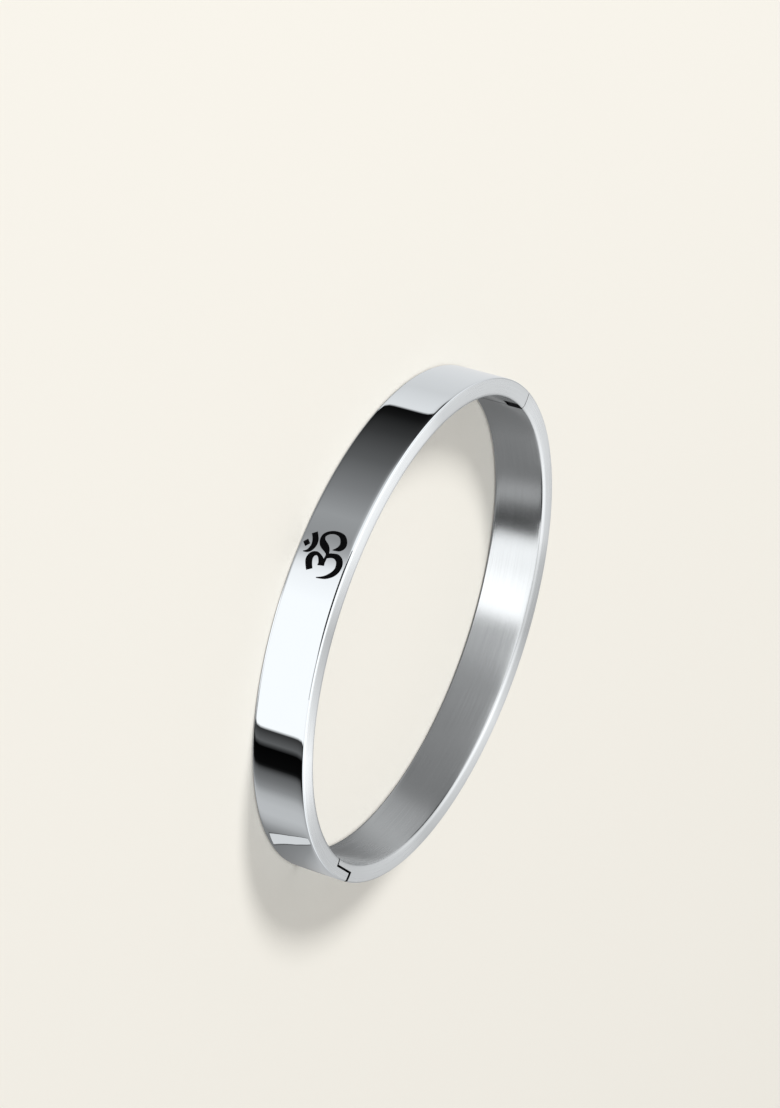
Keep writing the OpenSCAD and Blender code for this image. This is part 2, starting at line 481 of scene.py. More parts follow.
@dataclass
class Solid:
    """A closed mesh as arrays: points in millimetres, and faces as lists of point numbers."""

    points: Array
    faces: list[tuple[int, ...]]

    def mesh(self, name: str) -> bpy.types.Mesh:
        """Makes it a Blender mesh.

        Args:
            name: the mesh's name.

        Returns:
            The mesh, in metres.
        """
        made = bpy.data.meshes.new(name)
        made.from_pydata((self.points * METRES).tolist(), [], self.faces)
        made.update()
        return made

    def piece(self, name: str) -> bpy.types.Object:
        """Returns it as an object at the origin, under this name."""
        return placed(name, self.mesh(name))

    def smooth_piece(self, name: str, steel: Steel) -> bpy.types.Object:
        """Makes it a smooth-shaded object.

        Args:
            name: the object's name.
            steel: its finish.

        Returns:
            The object.
        """
        made = self.piece(name)
        made.data.polygons.foreach_set("use_smooth", np.ones(len(self.faces), dtype=bool))
        made.data.set_sharp_from_angle(angle=SMOOTH_ANGLE)
        made.data.materials.append(shared(steel))
        return made


def rounded(half: float, edge: float) -> tuple[Array, Array]:
    """The edge profile of a plate whose two faces meet its rim by quarter circles.

    Args:
        half: half of the plate's thickness.
        edge: the quarter circles' radius.

    Returns:
        How far in from the rim each level lies, and the level's height about the middle.
    """
    bend = np.radians(np.linspace(0.0, 90.0, EDGE_STEPS + 1))
    inset, height = edge * (1.0 - np.sin(bend)), edge * (1.0 - np.cos(bend)) - half
    return np.concatenate([inset, inset[::-1]]), np.concatenate([height, -height[::-1]])


def swept(rings: Array) -> Solid:
    """Joins equal closed rings of points into a closed tube with flat ends.

    Point (i, j) is point j of ring i. Each face joins points j and j + 1 of rings i and i + 1,
    and the first and last rings are the end faces.

    Args:
        rings: array of ring, point and coordinate.

    Returns:
        The solid, facing outwards where the rings turn right-handed along the sweep.
    """
    count, size = rings.shape[:2]
    here = (np.arange(count - 1)[:, None] * size + np.arange(size)[None, :]).ravel()
    turn = (np.arange(count - 1)[:, None] * size + (np.arange(size)[None, :] + 1) % size).ravel()
    quads = np.stack([here, turn, turn + size, here + size], axis=1)
    ends = [tuple(range(size - 1, -1, -1)), tuple(range((count - 1) * size, count * size))]
    return Solid(rings.reshape(-1, 3), [tuple(quad) for quad in quads.tolist()] + ends)


def prism(outline: Array, low: float, high: float) -> Solid:
    """A straight prism over a plan outline, from one height to another.

    Args:
        outline: the corners in plan, turning left, as rows of x and y.
        low: the lower height.
        high: the upper height.

    Returns:
        The closed solid.
    """
    heights = np.array([low, high])
    rings = np.empty((2, len(outline), 3))
    rings[:, :, :2] = outline
    rings[:, :, 2] = heights[:, None]
    return swept(rings)


def arc(
    centre: tuple[float, float],
    radius: float | tuple[float, float],
    start: float,
    stop: float,
    steps: int,
) -> Array:
    """Points of an arc: centre plus radius times (cos a, sin a), for a from start to stop.

    Args:
        centre: the arc's centre in plan.
        radius: its radius, or the two half axes of an oval one.
        start: first angle in degrees.
        stop: last angle in degrees.
        steps: how many chords it has.

    Returns:
        The points as rows of x and y.
    """
    angle = np.radians(np.linspace(start, stop, steps + 1))
    ray = np.stack([np.cos(angle), np.sin(angle)], axis=1)
    return np.array(centre) + np.asarray(radius) * ray


def circle(centre: tuple[float, float], radius: float, steps: int) -> Array:
    """Points of a full circle, turning left from its +X side, as rows of x and y."""
    return arc(centre, radius, 0.0, 360.0, steps)[:-1]


def rectangle(left: float, right: float, front: float, rear: float) -> Array:
    """Corners of a rectangle in plan, turning left, as rows of x and y."""
    return np.array([[left, front], [right, front], [right, rear], [left, rear]])


def values(items: object, name: str, width: int = 3) -> Array:
    """Reads a property of all the vertices, faces or corners of a mesh.

    Args:
        items: the mesh's collection.
        name: the property's name.
        width: how many numbers it has, where a single one is a whole number.

    Returns:
        One row of numbers for each item, or one whole number.
    """
    read = np.empty(len(items) * width, dtype=np.int32 if width == 1 else np.float32)
    items.foreach_get(name, read)
    return read if width == 1 else read.reshape(-1, width).astype(float)


def cut_out(piece: bpy.types.Object, cutters: list[Solid]) -> None:
    """Cuts solids out of a piece by Boolean modifiers, and keeps the result as its mesh.

    Args:
        piece: the object that is cut.
        cutters: what is taken away.
    """
    tools = [cutter.piece("cutter") for cutter in cutters]
    for tool in tools:
        step = piece.modifiers.new("cut", "BOOLEAN")
        step.solver = "EXACT"
        step.operation = "DIFFERENCE"
        step.object = tool
    bpy.context.view_layer.update()
    done = piece.evaluated_get(bpy.context.evaluated_depsgraph_get())
    rough = piece.data
    piece.data = bpy.data.meshes.new_from_object(done)
    piece.modifiers.clear()
    piece.data.name = piece.name
    bpy.data.meshes.remove(rough)
    for tool in tools:
        bpy.data.meshes.remove(tool.data)


@dataclass(frozen=True)
class Oval:
    """The band's outer line in plan: the ellipse (half_length cos t, half_width sin t)."""

    half_length: float
    half_width: float

    FINE = 3601
    ROUNDS = 8

    def point(self, turn: Array) -> Array:
        """Points of the ellipse at parameter turn, as rows of x and y."""
        axes = np.array([self.half_length, self.half_width])
        return axes * np.stack([np.cos(turn), np.sin(turn)], axis=-1)

    def normal(self, turn: Array) -> Array:
        """Outward unit normals: (cos t / half_length, sin t / half_width) made unit long."""
        raw = np.stack([np.cos(turn) / self.half_length, np.sin(turn) / self.half_width], axis=-1)
        return raw / np.linalg.norm(raw, axis=-1, keepdims=True)

    def parallel(self, turn: Array, depth: Array) -> Array:
        """Points that lie depth inside the ellipse, along its normals."""
        return self.point(turn) - np.asarray(depth)[..., None] * self.normal(turn)

    def foot(self, plan: Array) -> tuple[Array, Array]:
        """Finds where points stand against the ellipse.

        The foot of the normal through a point is found by Newton steps on the product of the
        tangent with the line from the foot to the point, which is zero at the foot.

        Args:
            plan: points as rows of x and y.

        Returns:
            The parameter of each foot, and how deep the point lies inside the ellipse.
        """
        a, b = self.half_length, self.half_width
        turn = np.arctan2(plan[:, 1] * a, plan[:, 0] * b)
        for _ in range(self.ROUNDS):
            sine, cosine = np.sin(turn), np.cos(turn)
            across = -a * sine * (plan[:, 0] - a * cosine) + b * cosine * (plan[:, 1] - b * sine)
            slope = (
                -a * cosine * (plan[:, 0] - a * cosine)
                - b * sine * (plan[:, 1] - b * sine)
                - (a * sine) ** 2
                - (b * cosine) ** 2
            )
            turn = turn - across / slope
        depth = ((self.point(turn) - plan) * self.normal(turn)).sum(axis=1)
        return turn, depth

    def running(self, start: float, stop: float) -> tuple[Array, Array]:
        """Adds up the fine chords of the ellipse.

        Args:
            start: the first parameter.
            stop: the last one.

        Returns:
            Fine parameters, and the length from the first up to each.
        """
        fine = np.linspace(start, stop, self.FINE)
        steps = np.linalg.norm(np.diff(self.point(fine), axis=0), axis=1)
        return fine, np.concatenate([[0.0], np.cumsum(steps)])

    def along(self, turn: Array) -> Array:
        """Length of the ellipse from t = -pi to each parameter."""
        return np.interp(turn, *self.running(-np.pi, np.pi))

    def even_turns(self, start: float, stop: float, pitch: float) -> Array:
        """Spreads parameters so that their points lie about evenly.

        Args:
            start: the first parameter.
            stop: the last one.
            pitch: how far apart the points lie at most.

        Returns:
            The parameters.
        """
        fine, run = self.running(start, stop)
        count = int(np.ceil(run[-1] / pitch))
        return np.interp(np.linspace(0.0, run[-1], count + 1), run, fine)


@dataclass(frozen=True)
class BandSection:
    """The band's section: a flat bar whose faces are a little crowned and corners rounded.

    Depth runs from the outer face inwards, height from the lower to the upper side face.
    """

    width: float
    thickness: float = 2.5
    outer_corner: float = 0.24
    inner_corner: tuple[float, float] = (0.60, 0.25)
    outer_crown: float = 0.04
    inner_crown: float = 0.02
    side_crown: float = 0.06
    crown_power: float = 10.0
    corner_steps: int = 200
    fine: int = 6000
    bend_weight: float = 1.6

    def outline(self) -> tuple[Array, Array, Array]:
        """Draws the section very finely, from the middle of its outer face downwards.

        A rectangle is drawn first, with quarter circles at its outer corners and quarter
        ellipses, longer in depth than in height, at its inner ones. Then depth grows by
        outer_crown |2h/width - 1|^power times the share towards the outer face, shrinks by
        inner_crown likewise towards the inner face, and the height closes in on the middle by
        side_crown (2d/thickness - 1)^2.

        Returns:
            Rows of depth and height, the outward unit normals as rows of outward and up, and
            the running length.
        """
        inner, level = self.thickness - self.inner_corner[0], self.inner_corner[1]
        corners = (
            (self.outer_corner, self.outer_corner, self.outer_corner),
            (inner, level, self.inner_corner),
            (inner, self.width - level, self.inner_corner),
            (self.outer_corner, self.width - self.outer_corner, self.outer_corner),
        )
        start = np.array([[0.0, self.width / 2.0]])
        parts = [
            arc((depth, height), radius, 180.0 + turn, 270.0 + turn, self.corner_steps)
            for turn, (depth, height, radius) in zip((0.0, 90.0, 180.0, 270.0), corners)
        ]
        loop = np.concatenate([start, *parts, start])
        run = np.concatenate([[0.0], np.cumsum(np.linalg.norm(np.diff(loop, axis=0), axis=1))])
        even = np.linspace(0.0, run[-1], self.fine, endpoint=False)
        depth = np.interp(even, run, loop[:, 0])
        height = np.interp(even, run, loop[:, 1])
        share = depth / self.thickness
        lift = np.abs(2.0 * height / self.width - 1.0) ** self.crown_power
        depth = depth + lift * (self.outer_crown * (1.0 - share) - self.inner_crown * share)
        middle = self.width / 2.0
        height = middle + (height - middle) * (
            1.0 - self.side_crown / middle * (2.0 * share - 1.0) ** 2
        )
        line = np.stack([depth, height], axis=1)
        ahead = np.roll(line, -1, axis=0) - np.roll(line, 1, axis=0)
        normal = np.stack([-ahead[:, 1], -ahead[:, 0]], axis=1)
        normal /= np.linalg.norm(normal, axis=1, keepdims=True)
        steps = np.linalg.norm(np.roll(line, -1, axis=0) - line, axis=1)
        return line, normal, np.concatenate([[0.0], np.cumsum(steps)[:-1]])

    def stations(self, count: int) -> Array:
        """Picks the outline's points that the mesh keeps, closer where it bends more.

        Args:
            count: how many are kept.

        Returns:
            Their numbers.
        """
        line, normal, _ = self.outline()
        step = np.linalg.norm(np.roll(line, -1, axis=0) - line, axis=1)
        bend = np.linalg.norm(np.roll(normal, -1, axis=0) - normal, axis=1)
        weight = np.cumsum(step / step.sum() + self.bend_weight * bend / bend.sum())
        return np.searchsorted(weight, np.linspace(0.0, weight[-1], count, endpoint=False))


@dataclass(frozen=True)
class BandMap:
    """Reads any point on a finished band half: where it stands and which way its face looks."""

    oval: Oval
    section: BandSection

    NAME = "along_band"
    BLOCK = 4000
    STRIDE = 4

    def read(self, points: Array) -> tuple[Array, Array, Array, Array, Array]:
        """Places points on the swept surface.

        Args:
            points: rows of x, y and z in millimetres.

        Returns:
            The surface's normals there, their outward part, the distances from the section's
            outline, the lengths along the band, and the lengths round its section from the
            middle of the outer face, either way.
        """
        turn, depth = self.oval.foot(points[:, :2])
        line, normal, run = self.section.outline()
        spot = np.stack([depth, points[:, 2]], axis=1)
        nearest = np.empty(len(spot), dtype=np.int64)
        for first in range(0, len(spot), self.BLOCK):
            block = slice(first, first + self.BLOCK)
            gap = ((spot[block, None, :] - line[None, :: self.STRIDE, :]) ** 2).sum(axis=2)
            nearest[block] = gap.argmin(axis=1) * self.STRIDE
        off = np.linalg.norm(spot - line[nearest], axis=1)
        for shift in range(1 - self.STRIDE, self.STRIDE):
            other = (nearest + shift) % len(line)
            gap = np.linalg.norm(spot - line[other], axis=1)
            nearest, off = np.where(gap < off, other, nearest), np.minimum(gap, off)
        outward = self.oval.normal(turn)
        facing = np.concatenate([outward * normal[nearest, :1], normal[nearest, 1:]], axis=1)
        way = run[nearest]
        around = np.minimum(way, run[-1] - way)
        return facing, normal[nearest, 0], off, self.oval.along(turn), around


@dataclass(frozen=True)
class Hinge:
    """The stepped hinge at the right-hand end, as plan outlines about the pin's axis.

    Fields: the front half's lugs lie outside x = lug_inside, which they follow up to
    y = lug_end, and end rounded about the pin by lug_round. Inside it the front half ends at
    y = step. The rear half's lap lies inside x = lap_outside and ends at y = lap_end, and
    outside it the rear half ends at y = seat, before the lugs. Between the two heights of slot
    the lugs are parted down to y = slot_floor, and between those of knuckle the rear half keeps
    a knuckle of knuckle_radius. The pin's hole has hold_clearance in the lugs and
    turn_clearance in the knuckle. Through is how far cutters reach past a face, and overlap
    how far past each other.
    """

    pin_x: float
    pin_y: float = 1.92
    lug_inside: float = 34.16
    lap_outside: float = 33.84
    lug_end: float = 2.44
    seat: float = 3.00
    lug_round: float = 0.9
    lap_end: float = -1.20
    step: float = -1.50
    slot: tuple[float, float] = (2.4, 5.6)
    slot_floor: float = 1.04
    knuckle: tuple[float, float] = (2.5, 5.5)
    knuckle_radius: float = 0.66
    pin_radius: float = 0.35
    pin_top: float = 7.1
    pin_edge: float = 0.09
    pin_steps: int = 64
    hold_clearance: float = 0.01
    turn_clearance: float = 0.04
    hole_steps: int = 48
    round_steps: int = 16
    through: float = 0.5
    overlap: float = 0.001

    def pin(self, low: float, high: float) -> Solid:
        """The pin: circles about its axis, rounded at both ends.

        Args:
            low: the height of its lower end.
            high: the height of its upper end.

        Returns:
            The closed solid.
        """
        inset, height = rounded((high - low) / 2.0, self.pin_edge)
        ray = circle((0.0, 0.0), 1.0, self.pin_steps)
        radius = (self.pin_radius - inset)[:, None, None]
        rings = np.empty((len(inset), len(ray), 3))
        rings[:, :, :2] = (self.pin_x, self.pin_y) + radius * ray
        rings[:, :, 2] = (low + high) / 2.0 + height[:, None]
        return swept(rings)

    def front_cutters(self, far: float, top: float) -> list[Solid]:
        """What the front half loses at the hinge.

        Args:
            far: a distance beyond the band.
            top: the band's width.

        Returns:
            The prisms of the step and the round lug ends, the slot, and the pin's hole.
        """
        centre = (self.pin_x, self.pin_y)
        angle = math.degrees(math.asin((self.lug_end - self.pin_y) / self.lug_round))
        outline = np.concatenate(
            [
                [[0.0, self.step], [self.lug_inside, self.step], [self.lug_inside, self.lug_end]],
                arc(centre, self.lug_round, angle, 0.0, self.round_steps),
                [[far, self.pin_y], [far, far], [0.0, far]],
            ]
        )
        slot = rectangle(self.lug_inside - self.through, far, self.slot_floor, far)
        hole = circle(centre, self.pin_radius + self.hold_clearance, self.hole_steps)
        return [
            prism(outline, -CUT_SPARE, top + CUT_SPARE),
            prism(slot, *self.slot),
            prism(hole, -CUT_SPARE, self.pin_top),
        ]

    def rear_cutters(self, far: float, top: float) -> list[Solid]:
        """What the rear half loses at the hinge.

        Args:
            far: a distance beyond the band.
            top: the band's width.

        Returns:
            The prisms beyond the lap, above, below and round the knuckle, and the pin's hole.
        """
        centre = (self.pin_x, self.pin_y)
        beyond = rectangle(0.0, far, -far, self.lap_end)
        inside, start = self.lap_outside, self.lap_end - self.through
        beside = rectangle(inside, far, start, self.seat)
        around = np.concatenate(
            [
                [[inside, start], [far, start], [far, self.pin_y]],
                arc(centre, self.knuckle_radius, 0.0, -90.0, self.round_steps),
                [[inside, self.pin_y - self.knuckle_radius]],
            ]
        )
        hole = circle(centre, self.pin_radius + self.turn_clearance, self.hole_steps)
        return [
            prism(beyond, -CUT_SPARE, top + CUT_SPARE),
            prism(beside, -CUT_SPARE, self.knuckle[0]),
            prism(beside, self.knuckle[1], top + CUT_SPARE),
            prism(around, self.knuckle[0] - self.overlap, self.knuckle[1] + self.overlap),
            prism(hole, -CUT_SPARE, top + CUT_SPARE),
        ]


@dataclass(frozen=True)
class Clasp:
    """The clasp at the left-hand end: the seam, the tongue's space and the relief notch.

    Fields: the seam is a gap at this y. The tongue is a strip bent about the pin's axis: its
    middle lies at tongue_radius, it is twice tongue_half thick, runs from tongue_low to
    tongue_high in y and has round corners and edges. Socket_room is its play in the front half
    and root_room that in the rear half. The relief is a wedge at the inner face, reaching from
    the seam by relief_front and relief_rear. It is relief_depth deep and ends relief_rim short
    of the side face, and a face is the relief's within relief_share of that depth.
    """

    hinge: Hinge
    inner_x: float
    seam: float = 1.15
    seam_gap: float = 0.12
    tongue_radius: float = 69.03
    tongue_half: float = 0.45
    tongue_low: float = -2.85
    tongue_high: float = 3.15
    tongue_width: float = 2.6
    tongue_corner: float = 0.6
    tongue_edge: float = 0.16
    relief_front: float = 1.6
    relief_rear: float = 0.3
    relief_depth: float = 0.28
    relief_rim: float = 0.3
    relief_share: float = 0.8
    socket_room: float = 0.15
    root_room: float = 0.02
    through: float = 0.5
    corner_steps: int = 10

    def plan(self, growth: float) -> Array:
        """The tongue's flat plan: a rectangle with round corners, grown all round.

        Args:
            growth: how far it is grown.

        Returns:
            The outline as rows of length and height.
        """
        corner = self.tongue_corner + growth
        low, high = self.tongue_low - growth + corner, self.tongue_high + growth - corner
        rise = self.tongue_width / 2.0 + growth - corner
        return np.concatenate(
            [
                arc(centre, corner, start, start + 90.0, self.corner_steps)
                for centre, start in (
                    ((low, -rise), 180.0),
                    ((high, -rise), 270.0),
                    ((high, rise), 0.0),
                    ((low, rise), 90.0),
                )
            ]
        )

    def bent(self, middle: float, plans: Array, heights: Array) -> Solid:
        """Lays plans on cylinders about the pin, and joins them.

        A plan's length becomes y, its height becomes z, and x is the pin's less the root of
        the cylinder's radius squared less the squared distance in y.

        Args:
            middle: the band's middle height.
            plans: one plan for each level, as rows of length and height.
            heights: how far outside the tongue's middle each level's cylinder lies.

        Returns:
            The closed solid.
        """
        radii = self.tongue_radius + heights
        rings = np.empty((len(heights), plans.shape[1], 3))
        rise = plans[:, :, 0] - self.hinge.pin_y
        rings[:, :, 0] = self.hinge.pin_x - np.sqrt(radii[:, None] ** 2 - rise**2)
        rings[:, :, 1] = plans[:, :, 0]
        rings[:, :, 2] = middle + plans[:, :, 1]
        return swept(rings[:, ::-1])

    def space(self, middle: float, clearance: float) -> Solid:
        """The tongue's space: the tongue grown all round by a clearance."""
        half = self.tongue_half + clearance
        return self.bent(middle, np.stack([self.plan(clearance)] * 2), np.array([-half, half]))

    def tongue(self, middle: float) -> Solid:
        """The tongue itself, its edges rounded by quarter circles."""
        inset, height = rounded(self.tongue_half, self.tongue_edge)
        return self.bent(middle, np.stack([self.plan(-part) for part in inset]), height)

    def in_relief(self, spots: Array) -> Array:
        """Tells which points lie within the relief notch, seen in plan.

        Args:
            spots: the points as rows of x, y and z.

        Returns:
            True for those that do.
        """
        past = spots[:, 1] - self.seam
        deep = self.inner_x - spots[:, 0]
        beside = (past > -self.relief_front) & (past < self.relief_rear)
        return beside & (deep > 0.0) & (deep < self.relief_share * self.relief_depth)

    def cutters(self, half: Half, far: float, top: float) -> list[Solid]:
        """What a half loses at the clasp.

        Args:
            half: which half.
            far: a distance beyond the band.
            top: the band's width.

        Returns:
            The block beyond the seam, the tongue's space and the relief notch.
        """
        edge = self.seam + half.value * self.seam_gap / 2.0
        ends = (edge, far) if half is Half.FRONT else (-far, edge)
        block = rectangle(-far, 0.0, *ends)
        growth = 1.0 + self.through / self.relief_depth
        inside = self.inner_x + self.through
        notch = np.array(
            [
                [self.inner_x - self.relief_depth, self.seam],
                [inside, self.seam - self.relief_front * growth],
                [inside, self.seam + self.relief_rear * growth],
            ]
        )
        side = (top - self.tongue_width) / 2.0 - self.socket_room
        room = self.socket_room if half is Half.FRONT else self.root_room
        return [
            prism(block, -CUT_SPARE, top + CUT_SPARE),
            self.space(top / 2.0, room),
            prism(notch, top - side, top - self.relief_rim),
        ]


@dataclass(frozen=True)
class OmSign:
    """The engraved Om sign: brush strokes on a square, seen with its top to the lower face.

    Each row of a stroke is a station: across, up and half of the stroke's width, as shares of
    the square's side. The square's middle lies at x = shift, and drop below the band's middle.
    Clearance parts the filling from the recess, setback is how far it lies under the face, and
    proud how far the recess's cutter stands before it. Grid is the pitch of the filling's
    points, and steps how many steps a stroke makes from one station to the next.
    """

    oval: Oval
    middle: float
    size: float = 6.65
    shift: float = -0.52
    drop: float = 0.14
    depth: float = 0.35
    clearance: float = 0.03
    setback: float = 0.02
    proud: float = 0.5
    grid: float = 0.16
    thinnest: float = 0.01
    steps: int = 14
    dot: tuple[float, float] = (0.123, 0.423)
    dot_half: float = 0.081
    strokes: dict[str, list[tuple[float, float, float]]] = field(
        default_factory=lambda: {
            "upper_arm": [
                (-0.365, 0.155, 0.068), (-0.255, 0.212, 0.073), (-0.165, 0.238, 0.075),
                (-0.075, 0.210, 0.061), (-0.030, 0.133, 0.041), (-0.047, 0.065, 0.037),
                (-0.100, 0.005, 0.052), (-0.175, -0.043, 0.068), (-0.236, -0.052, 0.075),
            ],
            "lower_bowl": [
                (-0.041, -0.086, 0.043), (-0.008, -0.146, 0.049), (0.012, -0.229, 0.048),
                (0.008, -0.311, 0.060), (-0.041, -0.389, 0.069), (-0.131, -0.429, 0.071),
                (-0.244, -0.421, 0.063), (-0.342, -0.356, 0.055), (-0.423, -0.246, 0.038),
                (-0.462, -0.138, 0.021), (-0.481, -0.045, 0.010),
            ],
            "tail": [
                (-0.165, -0.078, 0.037), (-0.011, -0.098, 0.029), (0.065, -0.071, 0.053),
                (0.132, -0.008, 0.074), (0.192, 0.072, 0.075), (0.268, 0.122, 0.057),
                (0.358, 0.117, 0.041), (0.426, 0.042, 0.035), (0.460, -0.063, 0.035),
                (0.456, -0.176, 0.042), (0.415, -0.269, 0.060), (0.335, -0.329, 0.072),
                (0.253, -0.346, 0.075), (0.185, -0.304, 0.060), (0.144, -0.236, 0.029),
                (0.117, -0.168, 0.006),
            ],
            "crescent": [
                (-0.060, 0.433, 0.006), (-0.033, 0.347, 0.029), (0.027, 0.286, 0.048),
                (0.117, 0.253, 0.060), (0.208, 0.260, 0.066), (0.290, 0.298, 0.063),
                (0.358, 0.343, 0.063),
            ],
        }
    )

    NUDGE = 0.01
    TOLERANCE = 1e-5
    ROUNDS = 6

    def stroke(self, rows: list[tuple[float, float, float]], inset: float) -> Array:
        """Outline of one stroke.

        A smooth curve runs through the stations (each span is the cubic whose end slopes are
        half of the chord between the neighbours). Its edges lie half a width to either side,
        across the curve's direction, less the inset.

        Args:
            rows: the stroke's stations.
            inset: how much smaller it is drawn, in millimetres.

        Returns:
            The closed outline as rows of across and up, in millimetres.
        """
        table = np.array(rows)
        table = np.concatenate([[2 * table[0] - table[1]], table, [2 * table[-1] - table[-2]]])
        last = len(rows) - 1
        trim = inset / self.size
        first = trim / np.linalg.norm(table[2] - table[1])
        final = last - trim / np.linalg.norm(table[-2] - table[-3])
        place = np.linspace(first, final, last * self.steps + 1)

        def curve(at: Array) -> Array:
            """Reads the smooth curve.

            Args:
                at: places along it, counted in stations.

            Returns:
                Rows of across, up and half of the width there.
            """
            span = np.clip(np.floor(at).astype(int), 0, last - 1)
            rest = (at - span)[:, None]
            before, here, there, after = (table[span + k] for k in range(4))
            return here + 0.5 * rest * (
                (there - before)
                + rest
                * (
                    (2 * before - 5 * here + 4 * there - after)
                    + rest * (3 * (here - there) + after - before)
                )
            )

        centre = curve(place)
        ahead = curve(place + self.NUDGE) - curve(place - self.NUDGE)
        across = np.stack([-ahead[:, 1], ahead[:, 0]], axis=1)
        across /= np.linalg.norm(across, axis=1, keepdims=True)
        half = np.maximum(centre[:, 2:] * self.size - inset, self.thinnest)
        left = centre[:, :2] * self.size + half * across
        right = centre[:, :2] * self.size - half * across
        return np.concatenate([right, left[::-1]])

    def outlines(self, inset: float) -> list[Array]:
        """Outlines of all the strokes and of the diamond dot.

        Args:
            inset: how much smaller they are drawn, in millimetres.

        Returns:
            The closed outlines as rows of across and up.
        """
        reach = self.dot_half * self.size - inset * math.sqrt(2.0)
        corners = np.array([[reach, 0.0], [0.0, reach], [-reach, 0.0], [0.0, -reach]])
        diamond = np.array(self.dot) * self.size + corners
        return [self.stroke(rows, inset) for rows in self.strokes.values()] + [diamond]

    def plan(self, inset: float, grid: float) -> tuple[Array, Array]:
        """Fills the union of the outlines with triangles.

        Args:
            inset: how much smaller the sign is drawn.
            grid: pitch of the extra points inside, or zero for none.

        Returns:
            Points as rows of across and up, and triangles that turn left.
        """
        points: list[Vector] = []
        faces: list[list[int]] = []
        for outline in self.outlines(inset):
            start = len(points)
            points += [Vector(row) for row in outline.tolist()]
            faces.append(list(range(start, len(points))))
        shapes = len(faces)
        if grid > 0:
            ticks = np.arange(-self.size / 2.0, self.size / 2.0, grid)
            mesh = np.stack(np.meshgrid(ticks, ticks), axis=-1).reshape(-1, 2)
            points += [Vector(row) for row in mesh.tolist()]
        spots, _, triangles, _, _, parents = delaunay_2d_cdt(
            points, [], faces, 0, self.TOLERANCE
        )
        inside = [bool(parent) for parent in parents]
        LOG.info("sign plan: %d shapes, %d triangles inside", shapes, sum(inside))
        kept = np.array([tri for tri, keep in zip(triangles, inside) if keep])
        flat = np.array([tuple(spot) for spot in spots])
        used, packed = np.unique(kept, return_inverse=True)
        return flat[used], packed.reshape(kept.shape)

    def surface(self, across: Array, depth: float) -> Array:
        """Y of the front face at this depth under it, for points across the sign.

        Args:
            across: the points' x in the row frame.
            depth: how deep under the face.

        Returns:
            Their y, from a few steps along the ellipse's normals.
        """
        turn = -np.arccos(across / self.oval.half_length)
        for _ in range(self.ROUNDS):
            at = self.oval.parallel(turn, np.full(len(across), depth))
            turn = turn - (at[:, 0] - across) / (-self.oval.half_length * np.sin(turn))
        return self.oval.parallel(turn, np.full(len(across), depth))[:, 1]

    def block(self, inset: float, top: float | None, floor: float, grid: float) -> Solid:
        """The sign as a solid through the front face.

        Args:
            inset: how much smaller it is drawn.
            top: depth of its top under the face, or None for a flat top in front of the face.
            floor: depth of its floor under the face.
            grid: pitch of the points inside its top and floor.

        Returns:
            The closed solid in the row frame.
        """
        plan, triangles = self.plan(inset, grid)
        x = self.shift - plan[:, 0]
        z = self.middle - self.drop - plan[:, 1]
        flat = np.full(len(x), -self.oval.half_width - self.proud)
        front = flat if top is None else self.surface(x, top)
        back = self.surface(x, floor)
        points = np.concatenate([np.stack([x, front, z], 1), np.stack([x, back, z], 1)])
        count = len(x)
        sides = triangles[:, [0, 1, 1, 2, 2, 0]].reshape(-1, 2)
        _, first, seen = np.unique(
            np.sort(sides, axis=1), axis=0, return_index=True, return_counts=True
        )
        edge = sides[first[seen == 1]]
        walls = np.stack([edge[:, 1], edge[:, 0], edge[:, 0] + count, edge[:, 1] + count], 1)
        sheets = (triangles, triangles[:, ::-1] + count, walls)
        return Solid(points, [tuple(face) for sheet in sheets for face in sheet.tolist()])

    def recess(self) -> Solid:
        """The solid that the engraving takes out of the band."""
        return self.block(0.0, None, self.depth, 0.0)

    def filling(self) -> Solid:
        """The enamel that fills the engraving, a hair below the face."""
        floor = self.depth - self.clearance
        return self.block(self.clearance, self.setback, floor, self.grid)


